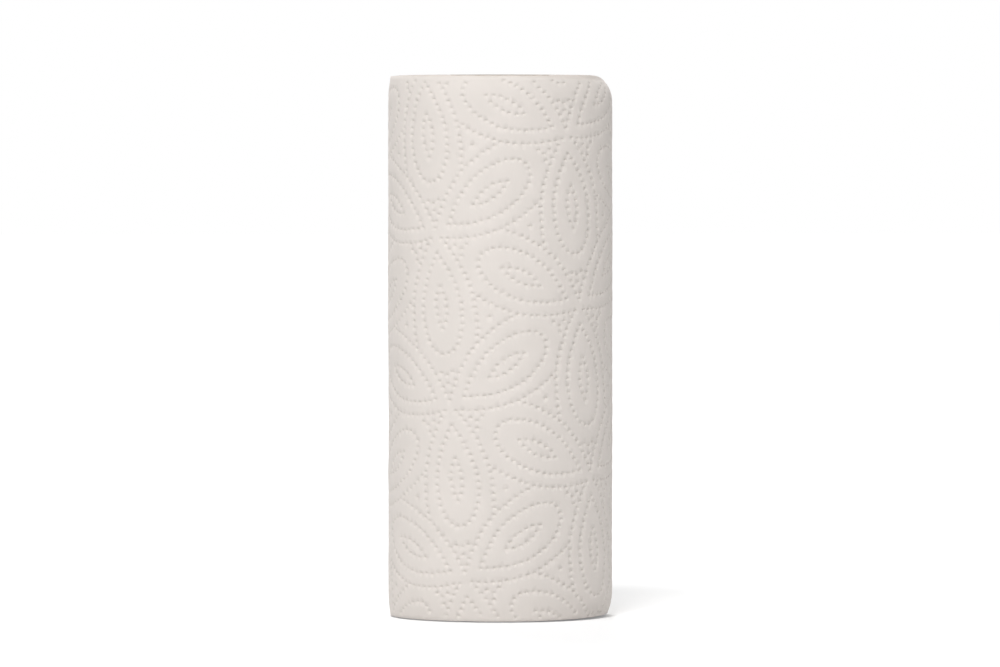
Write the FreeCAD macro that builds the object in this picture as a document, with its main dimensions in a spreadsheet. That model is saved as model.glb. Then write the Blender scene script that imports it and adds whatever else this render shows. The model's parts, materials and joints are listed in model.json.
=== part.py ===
import FreeCAD, Part
import math
import os
import Sketcher

# A roll of three-ply paper towel, standing on its end, wound on a cardboard core. Millimetres, +Z up along the
# core. The origin is the middle of the core's bore at the roll's lower end.
#
# The towel is one long sheet. In plan it is a spiral drawn the draughtsman's way, from half circles about two
# centres that lie half a turn's pitch apart, so that each half circle runs smoothly into the next, wider one.
# The sheet starts glued to the core, and its free tail leaves the outermost turn as a straight flap. A line of
# perforations crosses the outside, one towel's length back from the tail's edge.
#
# A real roll of this width holds about 48 turns, a little over half a millimetre each. The solid has a third as
# many, each as thick as three, and keeps the real diameter, core, height, tail and length of towel.

SIZES = [
    ("roll_height", 228.0, "width of the paper, which is the height of the standing roll"),
    ("bore_diameter", 40.0, "inside of the cardboard core"),
    ("core_wall", 0.9, "thickness of the core's board"),
    ("sheet_thickness", 1.37, "one turn of the solid, for three turns of towel as they lie in the roll"),
    ("turn_gap", 0.24, "air between one turn and the next"),
    ("turn_count", 16, "whole turns on the core"),
    ("tail_flap", 12.0, "free end of the towel, past its line of glue"),
    ("tail_direction", 62.0, "where the flap leaves the roll, in degrees from +X towards +Y"),
    ("towel_length", 235.0, "from the tail's edge back to the perforation"),
    ("slit_length", 7.4, "one cut of the perforation"),
    ("slit_bond", 1.6, "paper left between two cuts"),
    ("slit_width", 0.4, "opening of a cut"),
]

doc = FreeCAD.newDocument("paper_towel_roll")


def make_sizes():
    """The driving dimensions, one named cell each."""
    cells = doc.addObject("Spreadsheet::Sheet", "sizes")
    for row, (alias, value, note) in enumerate(SIZES, start=1):
        cells.set(f"A{row}", alias)
        cells.set(f"B{row}", str(value))
        cells.set(f"C{row}", note)
        cells.setAlias(f"B{row}", alias)
    doc.recompute()
    return cells


sizes = make_sizes()

# Radii and pitches that several features share, as expressions in the named cells.
CORE_RADIUS = "(sizes.bore_diameter / 2 + sizes.core_wall)"
HALF_PITCH = "((sizes.sheet_thickness + sizes.turn_gap) / 2)"
SLIT_PITCH = "(sizes.slit_length + sizes.slit_bond)"
SLIT_COUNT = f"floor((sizes.roll_height - sizes.slit_bond) / {SLIT_PITCH})"

# How a sketch names its own origin and X axis, and the points of a line or an arc.
ORIGIN = X_AXIS = -1
START, END, CENTRE = 1, 2, 3

UP = FreeCAD.Vector(0, 0, 1)


def value_of(expression):
    """What an expression in the named cells comes to."""
    return float(sizes.evalExpression(expression))


def origin_part(body, role):
    """One of a body's own origin planes or axes."""
    return next(part for part in body.Origin.OriginFeatures if part.Role == role)


def new_sketch(body, name):
    """A sketch on the body's ground plane."""
    sketch = body.newObject("Sketcher::SketchObject", name)
    sketch.AttachmentSupport = [(origin_part(body, "XY_Plane"), "")]
    sketch.MapMode = "FlatFace"
    return sketch


def bind(sketch, constraint, name, expression):
    """Adds a dimension to a sketch under a name of its own, driven by an expression."""
    sketch.renameConstraint(sketch.addConstraint(constraint), name)
    sketch.setExpression(f"Constraints.{name}", expression)


def pad_to_height(body, sketch, name):
    """The sketch's section carried straight up to the roll's other end."""
    pad = body.newObject("PartDesign::Pad", name)
    pad.Profile = sketch
    pad.setExpression("Length", "sizes.roll_height")
    body.Tip = pad


def make_core():
    """The cardboard tube."""
    body = doc.addObject("PartDesign::Body", "cardboard_core")
    section = new_sketch(body, "core_section")
    for name, radius in (("inside", "sizes.bore_diameter / 2"), ("outside", CORE_RADIUS)):
        circle = section.addGeometry(Part.Circle(FreeCAD.Vector(), UP, value_of(radius)))
        section.addConstraint(Sketcher.Constraint("Coincident", circle, CENTRE, ORIGIN, START))
        bind(section, Sketcher.Constraint("Radius", circle, value_of(radius)), name, radius)
    pad_to_height(body, section, "core_tube")
    return body


class TwoCentreSpiral:
    """Half circles joined end to end in a sketch, about its origin and a second centre on the X axis by turns."""

    def __init__(self, sketch, half_turns):
        self.sketch = sketch
        self.half_turns = half_turns
        self.half_pitch = value_of(HALF_PITCH)
        place = FreeCAD.Vector(self.half_pitch, 0, 0)
        self.second_centre = sketch.addGeometry(Part.Point(place), True)
        sketch.addConstraint(Sketcher.Constraint("PointOnObject", self.second_centre, START, X_AXIS))
        spread = Sketcher.Constraint("DistanceX", ORIGIN, START, self.second_centre, START, self.half_pitch)
        bind(sketch, spread, "half_pitch", HALF_PITCH)

    def draw(self, name, first_radius):
        """Draws one face of the sheet from the core outwards. Gives its first and its last half circle."""
        radius = value_of(first_radius)
        arcs = []
        for k in range(self.half_turns):
            odd = k % 2
            circle = Part.Circle(FreeCAD.Vector(self.half_pitch * odd, 0, 0), UP, radius + k * self.half_pitch)
            arcs.append(Part.ArcOfCircle(circle, math.pi * odd, math.pi * (odd + 1)))
        numbers = self.sketch.addGeometry(arcs)

        rules = [Sketcher.Constraint("PointOnObject", numbers[0], START, X_AXIS)]
        for k, arc in enumerate(numbers):
            about = self.second_centre if k % 2 else ORIGIN
            rules.append(Sketcher.Constraint("Coincident", arc, CENTRE, about, START))
            rules.append(Sketcher.Constraint("PointOnObject", arc, END, X_AXIS))
            if k:
                rules.append(Sketcher.Constraint("Coincident", arc, START, numbers[k - 1], END))
        self.sketch.addConstraint(rules)
        bind(self.sketch, Sketcher.Constraint("Radius", numbers[0], radius), name, first_radius)
        return numbers[0], numbers[-1]


def draw_towel(sketch, half_turns):
    """The towel seen from above: two spirals one sheet's thickness apart, closed at the core and at the tail."""
    spiral = TwoCentreSpiral(sketch, half_turns)
    under_first, under_last = spiral.draw("under_face", CORE_RADIUS)
    over_first, over_last = spiral.draw("over_face", f"{CORE_RADIUS} + sizes.sheet_thickness")

    core_side = FreeCAD.Vector(value_of(CORE_RADIUS), 0, 0)
    tail_root = core_side + FreeCAD.Vector(half_turns * spiral.half_pitch, 0, 0)
    across = FreeCAD.Vector(sizes.sheet_thickness, 0, 0)
    along = FreeCAD.Vector(0, sizes.tail_flap, 0)
    glued_edge, under_flap, over_flap, tail_edge = sketch.addGeometry([
        Part.LineSegment(core_side, core_side + across),
        Part.LineSegment(tail_root, tail_root + along),
        Part.LineSegment(tail_root + across, tail_root + across + along),
        Part.LineSegment(tail_root + along, tail_root + across + along),
    ])
    sketch.addConstraint([
        Sketcher.Constraint("Coincident", glued_edge, START, under_first, START),
        Sketcher.Constraint("Coincident", glued_edge, END, over_first, START),
        Sketcher.Constraint("Coincident", under_flap, START, under_last, END),
        Sketcher.Constraint("Coincident", over_flap, START, over_last, END),
        Sketcher.Constraint("Coincident", tail_edge, START, under_flap, END),
        Sketcher.Constraint("Coincident", tail_edge, END, over_flap, END),
        Sketcher.Constraint("Vertical", under_flap),
        Sketcher.Constraint("Vertical", over_flap),
        Sketcher.Constraint("Horizontal", tail_edge),
    ])
    bind(sketch, Sketcher.Constraint("Distance", under_flap, sizes.tail_flap), "tail_flap", "sizes.tail_flap")


def middle_radius(k):
    """The radius half way through the sheet in half circle k, counted from the core."""
    return f"({CORE_RADIUS} + sizes.sheet_thickness / 2 + {k} * {HALF_PITCH})"


def perforated_half_circle(half_turns):
    """Which half circle lies one towel's length back from the tail's edge, measured along the sheet."""
    left = sizes.towel_length - sizes.tail_flap
    k = half_turns - 1
    while k > 0 and left > math.pi * value_of(middle_radius(k)):
        left -= math.pi * value_of(middle_radius(k))
        k -= 1
    return k


def draw_slit(sketch, half_turns):
    """One cut of the perforation seen from above, across the sheet. The sketch is turned to face the cut."""
    k = perforated_half_circle(half_turns)
    odd = k % 2
    passed = " + ".join(["0"] + [middle_radius(later) for later in range(k + 1, half_turns)])
    into_this_one = f"(sizes.towel_length - sizes.tail_flap - pi * ({passed}))"
    turned = f"{180 * (odd + 1)} - {into_this_one} / {middle_radius(k)} * 180 / pi"
    sketch.AttachmentOffset = FreeCAD.Placement(FreeCAD.Vector(), FreeCAD.Rotation(UP, value_of(turned)))
    sketch.setExpression("AttachmentOffset.Rotation.Angle", turned)
    sketch.setExpression("AttachmentOffset.Base.x", f"{odd} * {HALF_PITCH}")
    sketch.setExpression(
        "AttachmentOffset.Base.z",
        f"(sizes.roll_height - {SLIT_COUNT} * {SLIT_PITCH} + sizes.slit_bond) / 2 + sizes.slit_length",
    )

    inner = f"{CORE_RADIUS} + {k} * {HALF_PITCH} - sizes.turn_gap / 2"
    outer = f"{CORE_RADIUS} + {k} * {HALF_PITCH} + sizes.sheet_thickness + sizes.turn_gap / 2"
    near, far, half_width = value_of(inner), value_of(outer), sizes.slit_width / 2
    corners = [
        FreeCAD.Vector(near, -half_width, 0),
        FreeCAD.Vector(far, -half_width, 0),
        FreeCAD.Vector(far, half_width, 0),
        FreeCAD.Vector(near, half_width, 0),
    ]
    low, away, high, towards = sketch.addGeometry([
        Part.LineSegment(corners[i], corners[(i + 1) % len(corners)]) for i in range(len(corners))
    ])
    sketch.addConstraint([
        Sketcher.Constraint("Coincident", low, END, away, START),
        Sketcher.Constraint("Coincident", away, END, high, START),
        Sketcher.Constraint("Coincident", high, END, towards, START),
        Sketcher.Constraint("Coincident", towards, END, low, START),
        Sketcher.Constraint("Horizontal", low),
        Sketcher.Constraint("Horizontal", high),
        Sketcher.Constraint("Vertical", towards),
        Sketcher.Constraint("Symmetric", away, START, away, END, X_AXIS),
    ])
    bind(sketch, Sketcher.Constraint("DistanceX", ORIGIN, START, low, START, near), "inner", inner)
    bind(sketch, Sketcher.Constraint("DistanceX", ORIGIN, START, low, END, far), "outer", outer)
    bind(sketch, Sketcher.Constraint("DistanceY", away, sizes.slit_width), "slit_width", "sizes.slit_width")


def perforate(body, half_turns):
    """The line of cuts from one end of the roll to the other."""
    sketch = new_sketch(body, "slit_section")
    draw_slit(sketch, half_turns)
    slit = body.newObject("PartDesign::Pocket", "slit")
    slit.Profile = sketch
    slit.setExpression("Length", "sizes.slit_length")
    body.Tip = slit
    doc.recompute()

    line = body.newObject("PartDesign::LinearPattern", "perforation")
    line.Originals = [slit]
    line.Direction = (origin_part(body, "Z_Axis"), [""])
    line.Mode = "Spacing"
    line.setExpression("Offset", SLIT_PITCH)
    line.setExpression("Occurrences", SLIT_COUNT)
    body.Tip = line


def make_paper():
    """The wound towel, its tail and its perforation."""
    half_turns = 2 * round(sizes.turn_count)
    body = doc.addObject("PartDesign::Body", "paper_roll")
    section = new_sketch(body, "towel_section")
    draw_towel(section, half_turns)
    pad_to_height(body, section, "wound_towel")
    perforate(body, half_turns)
    body.Placement.Rotation = FreeCAD.Rotation(UP, sizes.tail_direction)
    body.setExpression("Placement.Rotation.Angle", "sizes.tail_direction")
    return body


def check_and_write(pieces):
    """Stops on anything that failed to build, then writes each piece to its own file."""
    doc.recompute()
    for thing in doc.Objects:
        if "Invalid" in thing.State or "Error" in thing.State:
            raise RuntimeError(f"{thing.Name} did not build: {thing.State}")
    os.makedirs("parts", exist_ok=True)
    for piece in pieces:
        shape = piece.Shape
        if shape.isNull() or not shape.isValid() or len(shape.Solids) != 1:
            raise RuntimeError(f"{piece.Label} is not one sound solid")
        shape.exportStep(os.path.join("parts", f"{piece.Label}.step"))
        print(f"{piece.Label}: {shape.Volume:.0f} cubic mm, {len(shape.Faces)} faces")


check_and_write([make_core(), make_paper()])
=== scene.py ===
import json
import math
import random
import bpy
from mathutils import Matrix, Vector, noise
from mathutils.geometry import delaunay_2d_cdt
from mathutils.kdtree import KDTree


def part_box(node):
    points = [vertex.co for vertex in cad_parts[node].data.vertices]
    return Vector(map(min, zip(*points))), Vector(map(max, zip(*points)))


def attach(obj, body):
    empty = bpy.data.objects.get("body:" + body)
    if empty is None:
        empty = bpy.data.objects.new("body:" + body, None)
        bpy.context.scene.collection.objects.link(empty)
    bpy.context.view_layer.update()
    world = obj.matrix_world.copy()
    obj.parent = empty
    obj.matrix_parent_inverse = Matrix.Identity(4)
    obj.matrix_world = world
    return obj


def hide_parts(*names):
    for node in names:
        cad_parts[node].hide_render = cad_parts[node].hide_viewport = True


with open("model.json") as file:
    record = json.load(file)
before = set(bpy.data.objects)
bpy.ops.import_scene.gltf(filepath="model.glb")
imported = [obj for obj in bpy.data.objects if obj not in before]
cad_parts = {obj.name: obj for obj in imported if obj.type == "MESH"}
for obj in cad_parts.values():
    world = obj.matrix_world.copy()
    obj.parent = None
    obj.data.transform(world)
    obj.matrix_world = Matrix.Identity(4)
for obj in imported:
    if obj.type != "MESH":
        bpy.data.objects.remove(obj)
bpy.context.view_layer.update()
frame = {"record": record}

# A roll of white three-ply paper towel, standing on its end. The towel is pressed all over with small dots
# that draw petals round the corners of a triangular grid. Its torn tail lies free at the back, and a line of
# perforations crosses the outside one towel's length before it. Lengths are in metres, angles in radians.

mm = 0.001
tau = 2 * math.pi
touching = 0.001 * mm                  # nearer than this, two points of a mesh are one

paperLow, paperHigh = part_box("paper_roll")
coreLow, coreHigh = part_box("cardboard_core")
boreMount = next(mount for mount in frame["record"]["mounts"] if mount["name"] == "core_bore")

roll = {
    "height": paperHigh[2] - paperLow[2],
    "coreRadius": (coreHigh[0] - coreLow[0]) / 2,
    "boreRadius": boreMount["dims"]["r_mm"] * mm,
    "outerRadius": 47.45 * mm,         # outer face of the towel where its tail leaves the roll
    "turns": 48,                       # as a real roll of this size has
    "thickness": 0.47 * mm,            # one turn, all three plies
    "tailAngle": math.radians(62),     # where the tail leaves the roll, from +X towards +Y
    "facing": math.radians(-92.5),     # the side that the camera looks at
}
turnPitch = (roll["outerRadius"] - roll["coreRadius"]) / roll["turns"]
wrapRadius = roll["outerRadius"] - turnPitch / 2     # the outermost turn's mean radius


def drift(x, y, layer=0.0):
    # smooth noise over a plane, between about -1 and 1; another layer, or a y far off, gives another course
    return noise.noise(Vector((x, y, layer)))


def rotated(v, angle):
    cosine, sine = math.cos(angle), math.sin(angle)
    return Vector((v.x * cosine - v.y * sine, v.x * sine + v.y * cosine))


def select(piece):
    bpy.ops.object.select_all(action="DESELECT")
    piece.select_set(True)
    bpy.context.view_layer.objects.active = piece


def shadeSmooth(piece, angle):
    select(piece)
    bpy.ops.object.shade_smooth_by_angle(angle=angle)


# The form that all the turns share: the roll isn't quite round, and its rims are squeezed in.

form = {
    "bulge": 0.3 * mm,                 # slow unevenness of the outside
    "bulgeSize": 55 * mm,
    "ripple": 0.35,                    # finer unevenness on it, as a share of the bulge
    "ripplesPerBulge": 3.1,
    "foldHeight": 12 * mm,             # how far below the rim the squeeze starts
    "foldReach": 10 * mm,              # how far in from the outside it goes
    "squeezedSide": 0.0,               # the rim is squeezed most at +X
    "rims": {                          # inset and drop all round, and how much more of each on that side
        "top": {"inset": 1.0 * mm, "drop": 0.6 * mm, "sideInset": 2.4 * mm, "sideDrop": 2.3 * mm},
        "bottom": {"inset": 0.9 * mm, "drop": 0.4 * mm, "sideInset": 1.2 * mm, "sideDrop": 0.9 * mm},
    },
}


def bulgeAt(angle, height):
    size = wrapRadius / form["bulgeSize"]
    place = Vector((math.cos(angle) * size, math.sin(angle) * size, height / form["bulgeSize"]))
    ripple = noise.noise(place * form["ripplesPerBulge"] + Vector((5.0, 2.0, 9.0)))
    return form["bulge"] * (noise.noise(place) + form["ripple"] * ripple)


def squeezed(radius, angle, height):
    # moves a place near a rim of the plain roll inwards, and away from that end
    side = max(0.0, math.cos(angle - form["squeezedSide"])) ** 2
    outer = max(0.0, 1 - (roll["outerRadius"] - radius) / form["foldReach"]) ** 2
    fromTop = roll["height"] - height
    for end, distance, inwards in (("top", fromTop, -1), ("bottom", height, 1)):
        rim = form["rims"][end]
        fold = outer * max(0.0, 1 - distance / form["foldHeight"]) ** 2
        radius -= fold * (rim["inset"] + side * rim["sideInset"])
        height += inwards * fold * (rim["drop"] + side * rim["sideDrop"])
    return radius, height


def turnRadius(turned):
    # of the towel's outer face: turned is the angle wound back from the tail's root
    return roll["outerRadius"] - turnPitch * turned / tau


def onRoll(turned, height, depth):
    # a place on the wound towel, its depth measured inwards from the outer face
    angle = roll["tailAngle"] - turned
    radius = turnRadius(turned) - depth
    share = (radius - roll["coreRadius"]) / (roll["outerRadius"] - roll["coreRadius"])
    radius, height = squeezed(radius + share * bulgeAt(angle, height), angle, height)
    return Vector((radius * math.cos(angle), radius * math.sin(angle), height))


# The towel's pattern. Places on the flat towel are (along, up): along is 0 at the tail's root and grows
# towards the tail, up is the height on the standing roll. The petal, its eye, the spokes and the web are
# measured from a grid corner, and the star from the middle of a grid triangle.

pattern = {
    "corner": (29.8 * mm, 24.8 * mm),  # a grid corner: right of the side that faces the camera, below the top
    "spacing": 72.0 * mm,              # from one corner of the grid to the next
    "lean": math.radians(-84.4),       # direction of the first petal, from along towards up
    "reach": 9,                        # corners tried each way from the first: enough to cover the towel
    "dotPitch": 2.95 * mm,
    "petal": {"from": 7.8 * mm, "to": 50.1 * mm, "halfWidth": 9.5 * mm, "widest": 0.585, "full": 0.91},
    "eye": {"middle": 30.4 * mm, "back": -6.0 * mm, "front": 8.8 * mm, "halfWidth": 2.55 * mm,
            "bend": 0.0305 / mm},
    "spoke": {"apex": 3.0 * mm, "to": 29.6 * mm, "bow": 1.45 * mm},
    "web": {"side": 13.4 * mm, "corner": 14.5 * mm, "halfSpan": 2.7 * mm, "dot": 10.2 * mm},
    "star": {"corner": 12.0 * mm, "dent": 0.75 * mm},
    "closest": 1.7 * mm,               # dots nearer than this to another are left out
    "wobble": 0.09 * mm,
    "seed": 11,
}


def spacedAlong(curve, pitch, closed=False):
    # evenly spaced points on a curve that is given as many short steps
    lengths = [0.0]
    for a, b in zip(curve, curve[1:]):
        lengths.append(lengths[-1] + (b - a).length)
    count = max(1, round(lengths[-1] / pitch))
    spots = []
    step = 0
    for i in range(count if closed else count + 1):
        wanted = lengths[-1] * i / count
        while step < len(lengths) - 2 and lengths[step + 1] < wanted:
            step += 1
        run = lengths[step + 1] - lengths[step]
        spots.append(curve[step].lerp(curve[step + 1], (wanted - lengths[step]) / run if run else 0.0))
    return spots


def bowed(start, end, bow, steps=30):
    # a shallow arc from start to end, bowed to the left of its way
    run = end - start
    left = Vector((-run.y, run.x)).normalized()
    return [start + run * t + left * bow * 4 * t * (1 - t) for t in (i / steps for i in range(steps + 1))]


def petalOutline():
    # pointed at its root, which is full below 1, and half an ellipse from its widest place to its tip
    petal = pattern["petal"]
    steps = 60
    side = []
    for i in range(steps + 1):
        t = i / steps
        if t < petal["widest"]:
            width = math.sin(math.pi / 2 * (t / petal["widest"]) ** petal["full"])
        else:
            width = math.sqrt(max(0.0, 1 - ((t - petal["widest"]) / (1 - petal["widest"])) ** 2))
        side.append(Vector((petal["from"] + t * (petal["to"] - petal["from"]), width * petal["halfWidth"])))
    return side + [Vector((p.x, -p.y)) for p in reversed(side[:-1])]


def eyeOutline(hand):
    # one of the two short arcs within a petal, each the other turned half round
    eye = pattern["eye"]
    steps = 20
    curve = []
    for i in range(steps + 1):
        x = eye["back"] + (eye["front"] - eye["back"]) * i / steps
        y = eye["halfWidth"] - eye["bend"] * x * x
        curve.append(Vector((eye["middle"] + hand * x, -hand * y)))
    return curve


def cornerDots():
    # the dots round one grid corner: a petal, and on the other side of the corner a small web between two
    # spokes, both to be turned three ways
    pitch = pattern["dotPitch"]
    web, spoke = pattern["web"], pattern["spoke"]
    dots = spacedAlong(petalOutline(), pitch, closed=True)
    for hand in (1, -1):
        dots += spacedAlong(eyeOutline(hand), pitch)
        apex = Vector((-spoke["apex"], 0))
        tip = rotated(Vector((-spoke["to"], 0)), hand * tau / 12)
        dots += spacedAlong(bowed(apex, tip, -hand * spoke["bow"]), pitch)
        dots.append(Vector((-web["corner"], hand * web["halfSpan"])))
    return dots + [Vector((-web["side"], 0)), Vector((-web["dot"], 0))]


def starDots():
    # a hollow-sided dotted triangle for the middle of each grid triangle, its corners towards the grid's
    star = pattern["star"]
    corners = [rotated(Vector((star["corner"], 0)), k * tau / 3) for k in range(3)]
    dots = [Vector((0, 0))]
    for k in range(3):
        dots += spacedAlong(bowed(corners[k - 1], corners[k], star["dent"]), pattern["dotPitch"])
    return dots


def thinnedOut(spots):
    # drops a dot that falls on another, and gives each one left a slight wobble
    cell = pattern["closest"]
    cellsAround = [(dx, dy) for dx in (-1, 0, 1) for dy in (-1, 0, 1)]
    taken = {}
    kept = []
    for spot in spots:
        column, row = math.floor(spot.x / cell), math.floor(spot.y / cell)
        near = [other for dx, dy in cellsAround for other in taken.get((column + dx, row + dy), [])]
        if any((other - spot).length < cell for other in near):
            continue
        taken.setdefault((column, row), []).append(spot)
        kept.append(spot + Vector((random.gauss(0, pattern["wobble"]), random.gauss(0, pattern["wobble"]))))
    return kept


def gridDots(lowAlong, highAlong):
    # every dot of the pattern between two places along the towel
    random.seed(pattern["seed"])
    corner = Vector((pattern["corner"][0] - wrapRadius * (roll["tailAngle"] - roll["facing"]),
                     roll["height"] - pattern["corner"][1]))
    first = rotated(Vector((pattern["spacing"], 0)), pattern["lean"])
    second = rotated(first, tau / 6)
    toMiddle = Vector((pattern["spacing"] / math.sqrt(3), 0))     # from a grid corner to a triangle's middle
    aroundCorner, aroundMiddle = cornerDots(), starDots()
    reach = range(-pattern["reach"], pattern["reach"] + 1)
    spots = []
    for node in (corner + first * i + second * j for i in reach for j in reach):
        if not lowAlong - pattern["spacing"] < node.x < highAlong + pattern["spacing"]:
            continue
        for petal in range(3):
            turn = pattern["lean"] + petal * tau / 3
            spots += [node + rotated(dot, turn) for dot in aroundCorner]
        for side in (1, -1):
            turn = pattern["lean"] + side * tau / 12
            middle = node + rotated(toMiddle, turn)
            spots += [middle + rotated(dot, turn + tau / 2) for dot in aroundMiddle]
    spots = [spot for spot in spots if lowAlong < spot.x < highAlong and 0 < spot.y < roll["height"]]
    return thinnedOut(spots)


# The outermost turn: two embossed towels that meet at the perforation.

towel = {
    "length": 235 * mm,                # from the torn tail back to the perforation
    "under": 30 * mm,                  # carried on under the tail
    "seed": 23,
    "grain": 1.75 * mm,                # spacing of the plain points between the dots
    "grainWobble": 0.2,                # how far each may lie off its place, as a share of the spacing
    "grainMargin": 0.6,                # clear of the towel's two ends, as a share of the spacing
    "valley": 0.06 * mm,               # how far the paper dips along a row of dots
    "valleySize": 1.8 * mm,
    "crumple": 0.07 * mm,
    "crumpleSize": 8 * mm,
    "innerDepth": 0.53 * mm,           # of the plain inner face
    "innerGrain": 7 * mm,
    "rimStep": 1.6 * mm,               # spacing of the points along a cut rim
    "rimWander": 0.12 * mm,
    "rimWanderSize": 6 * mm,
    "smooth": math.radians(65),        # a sharper fold shows as an edge
    "dot": {
        "halfWidth": 1.08 * mm,
        "halfHeight": 0.7 * mm,
        "depth": 0.5 * mm,
        "depthRange": (0.8, 1.15),     # share of it, from one dot to another
        "clear": 1.3 * mm,             # no dot nearer than this to an edge, no plain point nearer to a dot
        # rings of points, as (how many, share of the half width and height, share of the depth)
        "rings": ((8, 1.0, 0.1), (7, 0.6, 0.72), (1, 0.0, 1.0)),
    },
}

perforation = {
    "slit": 7.4 * mm,
    "bond": 1.6 * mm,                  # paper left between two slits
    "width": 0.4 * mm,                 # of an open slit
    "taper": 0.12 * mm,                # height in which it closes at each bond
}

tear = {
    "slitShares": (0.0, 0.35, 0.7, 1.0),          # where up a slit the edge has its points
    "slitWander": (-0.05 * mm, 0.06 * mm),
    "bondShares": (0.2, 0.45, 0.7, 0.9),          # and where up a torn bond
    "stub": (0.1 * mm, 1.0 * mm),                 # how far its paper stands out
    "fringe": (0.45, 1.0),                        # each point, as a share of the stub
}

tail = {
    "length": 12 * mm,                 # free past its line of glue
    "lift": 1.3 * mm,                  # how much its edge stands off the roll, here more and there less
    "meanLift": 0.45,                  # on average, as a share of it
    "liftSize": 38 * mm,
    "curl": 1.1 * mm,                  # further lift at the rims
    "curlSize": 9 * mm,
}

# Across a cut edge the three plies stand out a little: (share of the thickness, how far out)
plies = [(0.0, 0.0), (0.17, 0.07 * mm), (0.33, -0.1 * mm), (0.5, 0.06 * mm), (0.67, -0.1 * mm),
         (0.83, 0.07 * mm), (1.0, 0.0)]


def onTowel(along, up, depth):
    # where a place on the flat towel lies on the roll, or on its free tail
    if along <= 0:
        return onRoll(-along / wrapRadius, up, depth)
    root = onRoll(0.0, up, depth)
    out = Vector((math.cos(roll["tailAngle"]), math.sin(roll["tailAngle"]), 0))
    onward = Vector((-out.y, out.x, 0))
    fromRim = min(up, roll["height"] - up)
    lift = tail["lift"] * (tail["meanLift"] + drift(up / tail["liftSize"], 4.0))
    lift += tail["curl"] * math.exp(-fromRim / tail["curlSize"])
    return root + onward * along + out * lift * (along / tail["length"]) ** 2


def slitStarts():
    # the heights at which the slits of a perforation begin, the same distance from both rims
    pitch = perforation["slit"] + perforation["bond"]
    count = int((roll["height"] - perforation["bond"]) / pitch)
    margin = (roll["height"] - count * pitch + perforation["bond"]) / 2
    return [margin + i * pitch for i in range(count)]


def tornEdge(at):
    # the tail's edge, torn along a perforation: cut stretches with a ragged stub at each bond
    starts = slitStarts()
    edge = []
    for low in starts:
        for share in tear["slitShares"]:
            edge.append((at + random.uniform(*tear["slitWander"]), low + share * perforation["slit"]))
        if low < starts[-1]:
            stub = random.uniform(*tear["stub"])
            for share in tear["bondShares"]:
                out = stub * random.uniform(*tear["fringe"])
                edge.append((at + out, low + perforation["slit"] + share * perforation["bond"]))
    return edge


def perforatedEdge(at, side):
    # one side of the perforation, 1 towards the tail and -1 away from it: cut stretches lie back from the
    # line by half a slit's width, and bonds reach it
    back = at + side * perforation["width"] / 2
    edge = []
    for low in slitStarts():
        high = low + perforation["slit"]
        edge.append((at, low - perforation["taper"]))
        edge += [(back, low + (high - low) * quarter / 4) for quarter in range(5)]
        edge.append((at, high + perforation["taper"]))
    return edge


def rimEdge(low, high, end):
    # a cut rim, very slightly wandering: end is 0 for the bottom and 1 for the top
    count = round((high - low) / towel["rimStep"])
    edge = []
    for i in range(count + 1):
        along = low + (high - low) * i / count
        wander = towel["rimWander"] * (1 + drift(along / towel["rimWanderSize"], end * 7.0, 3.0))
        edge.append((along, wander if end == 0 else roll["height"] - wander))
    return edge


def towelOutline(low, high, lowEdge, highEdge):
    # anticlockwise, seen from outside the roll
    bottom = rimEdge(low, high, 0)
    top = rimEdge(low, high, 1)
    return [Vector(p) for p in bottom + highEdge + top[::-1] + lowEdge[::-1]]


def outwardNormals(outline):
    normals = []
    for before, after in zip(outline[-1:] + outline, outline[1:] + outline[:1]):
        run = (after - before).normalized()
        normals.append(Vector((run.y, -run.x)))
    return normals


def valleyAt(nearest):
    return towel["valley"] * math.exp(-(nearest / towel["valleySize"]) ** 2)


def dotPoints(dots, tree):
    # (along, up, depth) for the rings of each pressed dot, less the points that lie nearer to another dot
    shape = towel["dot"]
    points = []
    for i, dot in enumerate(dots):
        deep = shape["depth"] * random.uniform(*shape["depthRange"])
        start = random.uniform(0, tau)
        for count, size, share in shape["rings"]:
            for k in range(count):
                angle = start + tau * k / count
                x = dot.x + size * shape["halfWidth"] * math.cos(angle)
                y = dot.y + size * shape["halfHeight"] * math.sin(angle)
                _, owner, nearest = tree.find((x, y, 0))
                if owner == i:
                    points.append((x, y, valleyAt(nearest) + deep * share))
    return points


def plainPoints(low, high, tree):
    # the paper between the dots, in staggered rows
    wobble = towel["grainWobble"]
    margin = towel["grainMargin"] * towel["grain"]
    columns = int((high - low) / towel["grain"])
    rows = int(roll["height"] / towel["grain"])
    points = []
    for i in range(1, columns):
        for j in range(1, rows):
            x = low + (i + 0.5 * (j % 2) + random.uniform(-wobble, wobble)) * (high - low) / columns
            y = (j + random.uniform(-wobble, wobble)) * roll["height"] / rows
            nearest = tree.find((x, y, 0))[2]
            if nearest > towel["dot"]["clear"] and low + margin < x < high - margin:
                points.append((x, y, valleyAt(nearest)))
    return points


def outerPoints(low, high, dots):
    # all points within one towel's outer face
    clear = towel["dot"]["clear"]
    inside = [d for d in dots if low + clear < d.x < high - clear and clear < d.y < roll["height"] - clear]
    tree = KDTree(len(inside))
    for i, dot in enumerate(inside):
        tree.insert((dot.x, dot.y, 0), i)
    tree.balance()
    return dotPoints(inside, tree) + plainPoints(low, high, tree)


def innerPoints(low, high):
    # a plain grid for its inner face
    grain = towel["innerGrain"]
    columns = range(1, int((high - low) / grain))
    rows = range(1, int(roll["height"] / grain))
    return [(low + i * grain, j * grain, towel["innerDepth"]) for i in columns for j in rows]


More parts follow.
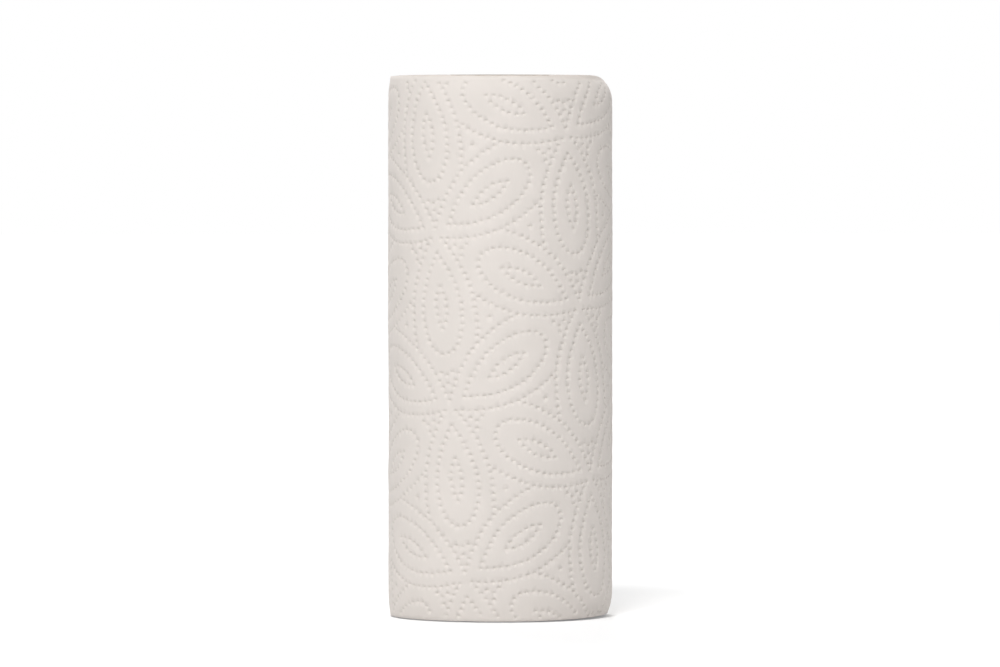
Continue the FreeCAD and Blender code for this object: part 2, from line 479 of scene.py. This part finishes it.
def filled(outline, points):
    # triangles that fill an outline and use every point: (flat places, the number each came from, triangles)
    around = len(outline)
    flat = outline + [Vector(point[:2]) for point in points]
    withinOutline = 1                  # the kind of result that leaves out what lies outside
    onePlace = 1e-8                    # nearer than this, two flat places are one
    result = delaunay_2d_cdt(flat, [], [list(range(around))], withinOutline, onePlace)
    places, _, triangles, origins = result[:4]
    numbers = [origin[0] for origin in origins]

    def isInside(triangle):
        # a triangle between three edge points lies outside where it turns against the outline
        a, b, c = (numbers[k] for k in triangle)
        return max(a, b, c) >= around or a < b < c or b < c < a or c < a < b

    return places, numbers, [triangle for triangle in triangles if isInside(triangle)]


class TowelMesh:
    # a towel as it grows: points on the roll, faces, and where each point lies on the flat towel
    def __init__(self):
        self.points = []
        self.faces = []
        self.flats = []

    def add(self, x, y, depth):
        crumple = towel["crumple"] * drift(x / towel["crumpleSize"], y / towel["crumpleSize"])
        self.points.append(onTowel(x, y, depth - crumple))
        self.flats.append((x, y))
        return len(self.points) - 1

    def addFace(self, outline, points, rim=()):
        # the outer face, whose outline's points are new, or the inner one, which takes them from the rim
        places, numbers, triangles = filled(outline, points)
        known = dict(enumerate(rim))
        for place, number in zip(places, numbers):
            if number not in known:
                depth = points[number - len(outline)][2] if number >= len(outline) else 0.0
                known[number] = self.add(place.x, place.y, depth)
        for triangle in triangles:
            corners = [known[numbers[k]] for k in triangle]
            self.faces.append(corners[::-1] if rim else corners)
        return [known[i] for i in range(len(outline))]

    def addCutEdge(self, outline, rim):
        # down from the outer face's rim, over the three plies, to the rim of the inner face
        normals = outwardNormals(outline)
        for share, out in plies[1:]:
            lower = []
            for corner, normal in zip(outline, normals):
                place = corner + normal * out
                lower.append(self.add(place.x, place.y, share * roll["thickness"]))
            for i in range(len(outline)):
                j = (i + 1) % len(outline)
                self.faces.append((rim[j], rim[i], lower[i], lower[j]))
            rim = lower
        return rim


def makeTowel(name, low, high, lowEdge, highEdge, dots):
    outline = towelOutline(low, high, lowEdge, highEdge)
    sheet = TowelMesh()
    rim = sheet.addFace(outline, outerPoints(low, high, dots))
    rim = sheet.addCutEdge(outline, rim)
    sheet.addFace(outline, innerPoints(low, high), rim)
    mesh = bpy.data.meshes.new(name)
    mesh.from_pydata(sheet.points, [], sheet.faces)
    layer = mesh.uv_layers.new(name="flat")
    for loop in mesh.loops:
        layer.data[loop.index].uv = sheet.flats[loop.vertex_index]
    piece = bpy.data.objects.new(name, mesh)
    bpy.context.collection.objects.link(piece)
    shadeSmooth(piece, towel["smooth"])
    print(name + ":", len(sheet.points), "points,", len(sheet.faces), "faces")
    return piece


def makeOuterTurn():
    tornAt = tail["length"]
    perforatedAt = tornAt - towel["length"]
    underEnd = -tau * wrapRadius - towel["under"]
    dots = gridDots(underEnd, tornAt)
    print("pattern:", len(dots), "dots")
    random.seed(towel["seed"])
    last = makeTowel("last_towel", perforatedAt, tornAt, perforatedEdge(perforatedAt, 1),
                     tornEdge(tornAt), dots)
    before = makeTowel("towel_before", underEnd, perforatedAt, [], perforatedEdge(perforatedAt, -1), dots)
    return last, before


# The turns under it, of which only the two ends show.

winding = {
    "step": 1.75 * mm,                 # length of one stretch along the towel
    "wave": 0.1 * mm,                  # slow in-and-out of the turns
    "waveSize": 9 * mm,
    "loose": 0.3,                      # a turn is up to this much thinner than the next one leaves room for
    "looseSize": 45 * mm,
    "sunk": 0.1 * mm,                  # every turn ends this far inside the roll's height
    "turnHeight": 0.2 * mm,            # how much higher or lower one turn is cut than its neighbours
    "turnHeightSize": 70 * mm,
    "fray": 0.13 * mm,                 # how uneven the cut itself is
    "fraySize": 3.5 * mm,
    "smooth": math.radians(40),
}


def crossSection(turned, travelled):
    # the towel's cut ends at one place along it, as a closed loop: top from inside to outside, then bottom
    angle = roll["tailAngle"] - turned
    ring = turnRadius(turned) / winding["waveSize"]
    wave = winding["wave"] * drift(math.cos(angle) * ring, math.sin(angle) * ring, 2.0)
    loose = 1 - winding["loose"] * max(0.0, drift(travelled / winding["looseSize"], 8.0))
    loop = []
    for end, inwards, stations in ((1, -1, plies[::-1]), (0, 1, plies)):
        cut = winding["turnHeight"] * (1 + drift(travelled / winding["turnHeightSize"], end * 5.0, 1.0)) / 2
        for number, (share, out) in enumerate(stations):
            fray = winding["fray"] * drift(travelled / winding["fraySize"], number * 3.7, end * 9.0)
            level = end * roll["height"] + inwards * (winding["sunk"] + cut + fray - out)
            loop.append(onRoll(turned, level, share * roll["thickness"] * loose + wave))
    return loop


def makeWinding():
    # a flat grid is rolled up: its columns run along the towel, its rows round the towel's cross-section
    turned = tau + towel["under"] / wrapRadius
    last = tau * (roll["outerRadius"] - roll["thickness"] - roll["coreRadius"]) / turnPitch
    stretches = []
    while turned < last:
        stretches.append(turned)
        turned += winding["step"] / turnRadius(turned)
    rows = 2 * len(plies)
    bpy.ops.mesh.primitive_grid_add(x_subdivisions=len(stretches) - 1, y_subdivisions=rows, size=1)
    piece = bpy.context.object
    piece.name = "wound_turns"
    for column, turned in enumerate(stretches):
        loop = crossSection(turned, column * winding["step"])
        for row in range(rows + 1):
            piece.data.vertices[row * len(stretches) + column].co = loop[row % rows]
    bpy.ops.object.mode_set(mode="EDIT")
    bpy.ops.mesh.select_all(action="SELECT")
    bpy.ops.mesh.remove_doubles(threshold=touching)
    bpy.ops.mesh.fill_holes(sides=rows)
    bpy.ops.mesh.select_all(action="SELECT")
    bpy.ops.mesh.normals_make_consistent(inside=False)
    bpy.ops.object.mode_set(mode="OBJECT")
    shadeSmooth(piece, winding["smooth"])
    print("wound_turns:", len(piece.data.vertices), "points,", len(piece.data.polygons), "faces")
    return piece


# The cardboard core: an outer tube, and an inner ply wound up through it, edge to edge but for a seam.

core = {
    "innerPly": 0.3 * mm,
    "seam": 0.9 * mm,                  # gap between two laps of the inner ply
    "rise": 92 * mm,                   # height the seam gains in one turn
    "segments": 96,
    "softEdge": 0.12 * mm,
    "softEdgeSteps": 2,
    "smooth": math.radians(40),
}


def applyModifiers(piece):
    select(piece)
    for modifier in list(piece.modifiers):
        bpy.ops.object.modifier_apply(modifier=modifier.name)


def thicken(piece, wall, even):
    # gives an outer skin its thickness, inwards; even keeps it the same at a bend
    thick = piece.modifiers.new("wall", "SOLIDIFY")
    thick.thickness = wall
    thick.offset = -1
    thick.use_even_offset = even


def makeBoardTube():
    bpy.ops.mesh.primitive_cylinder_add(vertices=core["segments"], end_fill_type="NOTHING",
                                        radius=roll["coreRadius"], depth=roll["height"],
                                        location=(0, 0, roll["height"] / 2))
    tube = bpy.context.object
    tube.name = "cardboard_tube"
    select(tube)
    bpy.ops.object.transform_apply(location=True, rotation=True, scale=True)
    thicken(tube, roll["coreRadius"] - roll["boreRadius"] - core["innerPly"], even=True)
    soft = tube.modifiers.new("soft rims", "BEVEL")
    soft.width = core["softEdge"]
    soft.segments = core["softEdgeSteps"]
    soft.limit_method = "ANGLE"
    applyModifiers(tube)
    return tube


def makeInnerPly():
    # a flat strip is wound up through the tube, with a narrow gap between its laps, and cut off level with
    # the ends
    radius = roll["boreRadius"] + core["innerPly"]
    steps = core["segments"] * (int(roll["height"] / core["rise"]) + 2)
    bpy.ops.mesh.primitive_grid_add(x_subdivisions=steps, y_subdivisions=1, size=1)
    strip = bpy.context.object
    strip.name = "inner_ply"
    for edge, rise in enumerate((0.0, core["rise"] - core["seam"])):
        for step in range(steps + 1):
            lap = step / core["segments"]
            height = core["rise"] * (lap - 1) + rise
            corner = strip.data.vertices[edge * (steps + 1) + step]
            corner.co = (radius * math.cos(lap * tau), radius * math.sin(lap * tau), height)
    thicken(strip, core["innerPly"], even=False)
    applyModifiers(strip)
    bpy.ops.object.mode_set(mode="EDIT")
    for level, above in ((0.0, False), (roll["height"], True)):
        bpy.ops.mesh.select_all(action="SELECT")
        bpy.ops.mesh.bisect(plane_co=(0, 0, level), plane_no=(0, 0, 1), use_fill=True, threshold=touching,
                            clear_inner=not above, clear_outer=above)
    bpy.ops.object.mode_set(mode="OBJECT")
    return strip


def makeCore():
    tube = makeBoardTube()
    strip = makeInnerPly()
    select(tube)
    strip.select_set(True)
    bpy.ops.object.join()
    shadeSmooth(tube, core["smooth"])
    print("cardboard_tube:", len(tube.data.vertices), "points,", len(tube.data.polygons), "faces")
    return tube


# Finishes. The scale of a noise is in waves per metre, a bump is (strength, height), and the blend gives the
# values of the noise between which dark turns to light.

paperLook = {
    "light": (0.806, 0.752, 0.708, 1),
    "dark": (0.782, 0.731, 0.687, 1),
    "blend": (0.35, 0.65),
    "clouds": 70.0,
    "crepeAcross": 1500.0,             # ridges run up the roll: many across, few along
    "crepeAlong": 330.0,
    "crepeBump": (0.5, 0.09 * mm),
    "fibre": 5200.0,
    "fibreBump": (0.35, 0.05 * mm),
    "roughness": 0.92,
    "specular": 0.25,
    "sheen": 0.08,
}

boardLook = {
    "light": (0.46, 0.375, 0.28, 1),
    "dark": (0.33, 0.262, 0.19, 1),
    "blend": (0.3, 0.7),
    "flecks": (900.0, 900.0, 260.0),   # longer up the core than round it
    "fleckBump": (0.5, 0.08 * mm),
    "roughness": 0.85,
    "specular": 0.3,
}


class Finish:
    # a material whose nodes are added one by one, from the coordinates towards the shader
    def __init__(self, name):
        self.material = bpy.data.materials.new(name)
        self.material.use_nodes = True
        self.tree = self.material.node_tree
        self.inputs = self.tree.nodes["Principled BSDF"].inputs

    def put(self, values):
        for name, value in values.items():
            self.inputs[name].default_value = value

    def add(self, kind, inputs=None, **settings):
        node = self.tree.nodes.new(kind)
        for key, value in settings.items():
            setattr(node, key, value)
        for key, value in (inputs or {}).items():
            node.inputs[key].default_value = value
        return node

    def link(self, output, target):
        self.tree.links.new(output, target)

    def noise(self, coordinates, scale, detail, roughness=0.55):
        node = self.add("ShaderNodeTexNoise", {"Scale": scale, "Detail": detail, "Roughness": roughness})
        self.link(coordinates, node.inputs["Vector"])
        return node.outputs["Fac"]

    def stretched(self, coordinates, scale):
        node = self.add("ShaderNodeMapping", {"Scale": scale})
        self.link(coordinates, node.inputs["Vector"])
        return node.outputs["Vector"]

    def blendColours(self, factor, look):
        ramp = self.add("ShaderNodeValToRGB")
        for element, position, tone in zip(ramp.color_ramp.elements, look["blend"], ("dark", "light")):
            element.position = position
            element.color = look[tone]
        self.link(factor, ramp.inputs["Fac"])
        self.link(ramp.outputs["Color"], self.inputs["Base Color"])

    def bumps(self, height, bump, under=None):
        node = self.add("ShaderNodeBump", {"Strength": bump[0], "Distance": bump[1]})
        self.link(height, node.inputs["Height"])
        if under is not None:
            self.link(under, node.inputs["Normal"])
        return node.outputs["Normal"]


def makePaperFinish(name, flat):
    # flat paper takes its grain from its place on the flat towel, cut paper from its place on the roll
    finish = Finish(name)
    across, along = paperLook["crepeAcross"], paperLook["crepeAlong"]
    if flat:
        where = finish.add("ShaderNodeUVMap", uv_map="flat").outputs["UV"]
        crepeScale = (across, along, 1.0)
    else:
        where = finish.add("ShaderNodeTexCoord").outputs["Object"]
        crepeScale = (across, across, along)
    finish.blendColours(finish.noise(where, paperLook["clouds"], detail=4), paperLook)
    crepe = finish.noise(finish.stretched(where, crepeScale), scale=1, detail=4, roughness=0.6)
    fibres = finish.noise(where, paperLook["fibre"], detail=2)
    under = finish.bumps(crepe, paperLook["crepeBump"])
    finish.link(finish.bumps(fibres, paperLook["fibreBump"], under), finish.inputs["Normal"])
    finish.put({"Roughness": paperLook["roughness"], "Specular IOR Level": paperLook["specular"],
                "Sheen Weight": paperLook["sheen"]})
    return finish.material


def makeBoardFinish():
    finish = Finish("core_board")
    where = finish.add("ShaderNodeTexCoord").outputs["Object"]
    flecks = finish.noise(finish.stretched(where, boardLook["flecks"]), scale=1, detail=5, roughness=0.65)
    finish.blendColours(flecks, boardLook)
    finish.link(finish.bumps(flecks, boardLook["fleckBump"]), finish.inputs["Normal"])
    finish.put({"Roughness": boardLook["roughness"], "Specular IOR Level": boardLook["specular"]})
    return finish.material


def dress(piece, material, slotName, *nodes):
    piece.data.materials.clear()
    piece.data.materials.append(material)
    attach(piece, "root")
    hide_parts(*nodes)


# Camera, light and floor.

studio = {
    "distance": 3.9,
    "elevation": math.radians(2.0),
    "rollPixels": 541.0,               # height of the roll in the photograph
    "framePixels": 1000.0,             # width of the photograph
    "below": 12.0,                     # pixels by which the roll's middle lies under the frame's
    "sensor": 36.0,                    # millimetres, as Blender has it
    "sky": 0.365,
    "floorSize": 14.0,
    "floorBelow": 0.05 * mm,           # clear of the core's cut end
    "floorColour": (0.82, 0.82, 0.82, 1),
    "glowNear": (0.8, 0.24),           # metres from the roll, and what the floor adds to its own light there:
    "glowFar": (5.0, 0.74),            # it shows white all over and still keeps the roll's shadow
    "aim": (0, 0, 0.11),               # what the lamps point at
}

lamps = {
    "key": {"spot": (-0.55, -2.05, 2.8), "size": 0.9, "watts": 63},
    "side": {"spot": (-2.6, -1.1, 1.0), "size": 1.6, "watts": 2.5},
    "top": {"spot": (0.1, -0.6, 2.9), "size": 1.3, "watts": 8},
    "back": {"spot": (-0.3, 2.0, 2.6), "size": 1.0, "watts": 38},
}


def pointedAt(spot, target):
    return (Vector(target) - Vector(spot)).to_track_quat("-Z", "Y").to_euler()


def makeCamera():
    pixel = roll["height"] / studio["rollPixels"]
    middle = Vector((0, 0, roll["height"] / 2 + studio["below"] * pixel))
    across = math.cos(studio["elevation"]) * studio["distance"]
    spot = Vector((across * math.cos(roll["facing"]), across * math.sin(roll["facing"]),
                   roll["height"] / 2 + studio["distance"] * math.sin(studio["elevation"])))
    data = bpy.data.cameras.new("camera")
    data.sensor_width = studio["sensor"]
    data.lens = studio["sensor"] * (spot - middle).length / (studio["framePixels"] * pixel)
    camera = bpy.data.objects.new("camera", data)
    camera.location = spot
    camera.rotation_euler = pointedAt(spot, middle)
    bpy.context.collection.objects.link(camera)
    bpy.context.scene.camera = camera


def makeLamp(name, spot, size, watts):
    data = bpy.data.lights.new(name, "AREA")
    data.size = size
    data.energy = watts
    lamp = bpy.data.objects.new(name, data)
    lamp.location = spot
    lamp.rotation_euler = pointedAt(spot, studio["aim"])
    bpy.context.collection.objects.link(lamp)


def seenDirectly(tree):
    # 1 for what the camera sees, also mirrored in or through something else
    path = tree.nodes.new("ShaderNodeLightPath")
    total = path.outputs["Is Camera Ray"]
    for kind in ("Is Glossy Ray", "Is Transmission Ray"):
        most = tree.nodes.new("ShaderNodeMath")
        most.operation = "MAXIMUM"
        tree.links.new(total, most.inputs[0])
        tree.links.new(path.outputs[kind], most.inputs[1])
        total = most.outputs[0]
    return total


def makeWorld():
    # soft light on the roll, and plain white where the camera sees it
    world = bpy.data.worlds.new("studio")
    world.use_nodes = True
    tree = world.node_tree
    tree.nodes.clear()
    mix = tree.nodes.new("ShaderNodeMixShader")
    for socket, strength in ((1, studio["sky"]), (2, 1.0)):
        background = tree.nodes.new("ShaderNodeBackground")
        background.inputs["Color"].default_value = (1, 1, 1, 1)
        background.inputs["Strength"].default_value = strength
        tree.links.new(background.outputs[0], mix.inputs[socket])
    out = tree.nodes.new("ShaderNodeOutputWorld")
    tree.links.new(seenDirectly(tree), mix.inputs["Fac"])
    tree.links.new(mix.outputs[0], out.inputs["Surface"])
    bpy.context.scene.world = world


def makeFloorFinish():
    finish = Finish("floor_white")
    where = finish.add("ShaderNodeTexCoord").outputs["Object"]
    away = finish.add("ShaderNodeVectorMath", operation="LENGTH")
    finish.link(where, away.inputs[0])
    nearer, further = studio["glowNear"], studio["glowFar"]
    strength = finish.add("ShaderNodeMapRange", {"From Min": nearer[0], "From Max": further[0],
                                                 "To Min": nearer[1], "To Max": further[1]})
    finish.link(away.outputs["Value"], strength.inputs["Value"])
    glow = finish.add("ShaderNodeMath", operation="MULTIPLY")
    finish.link(seenDirectly(finish.tree), glow.inputs[0])
    finish.link(strength.outputs["Result"], glow.inputs[1])
    finish.link(glow.outputs[0], finish.inputs["Emission Strength"])
    finish.put({"Base Color": studio["floorColour"], "Emission Color": (1, 1, 1, 1),
                "Roughness": 1.0, "Specular IOR Level": 0.0})
    return finish.material


def makeFloor():
    bpy.ops.mesh.primitive_plane_add(size=studio["floorSize"], location=(0, 0, -studio["floorBelow"]))
    floor = bpy.context.object
    floor.name = "floor"
    floor.data.materials.append(makeFloorFinish())


bpy.context.scene.view_settings.view_transform = "Standard"
makeCamera()
makeWorld()
for name, lamp in lamps.items():
    makeLamp(name, **lamp)
makeFloor()
print("studio ready")

lastTowel, towelBefore = makeOuterTurn()
wound = makeWinding()
tube = makeCore()

embossedPaper = makePaperFinish("embossed_paper", flat=True)
cutPaper = makePaperFinish("cut_paper", flat=False)
dress(lastTowel, embossedPaper, "paper", "paper_roll")
dress(towelBefore, embossedPaper, "paper", "paper_roll")
dress(wound, cutPaper, "paper", "paper_roll")
dress(tube, makeBoardFinish(), "board", "cardboard_core")
print("finishes ready")
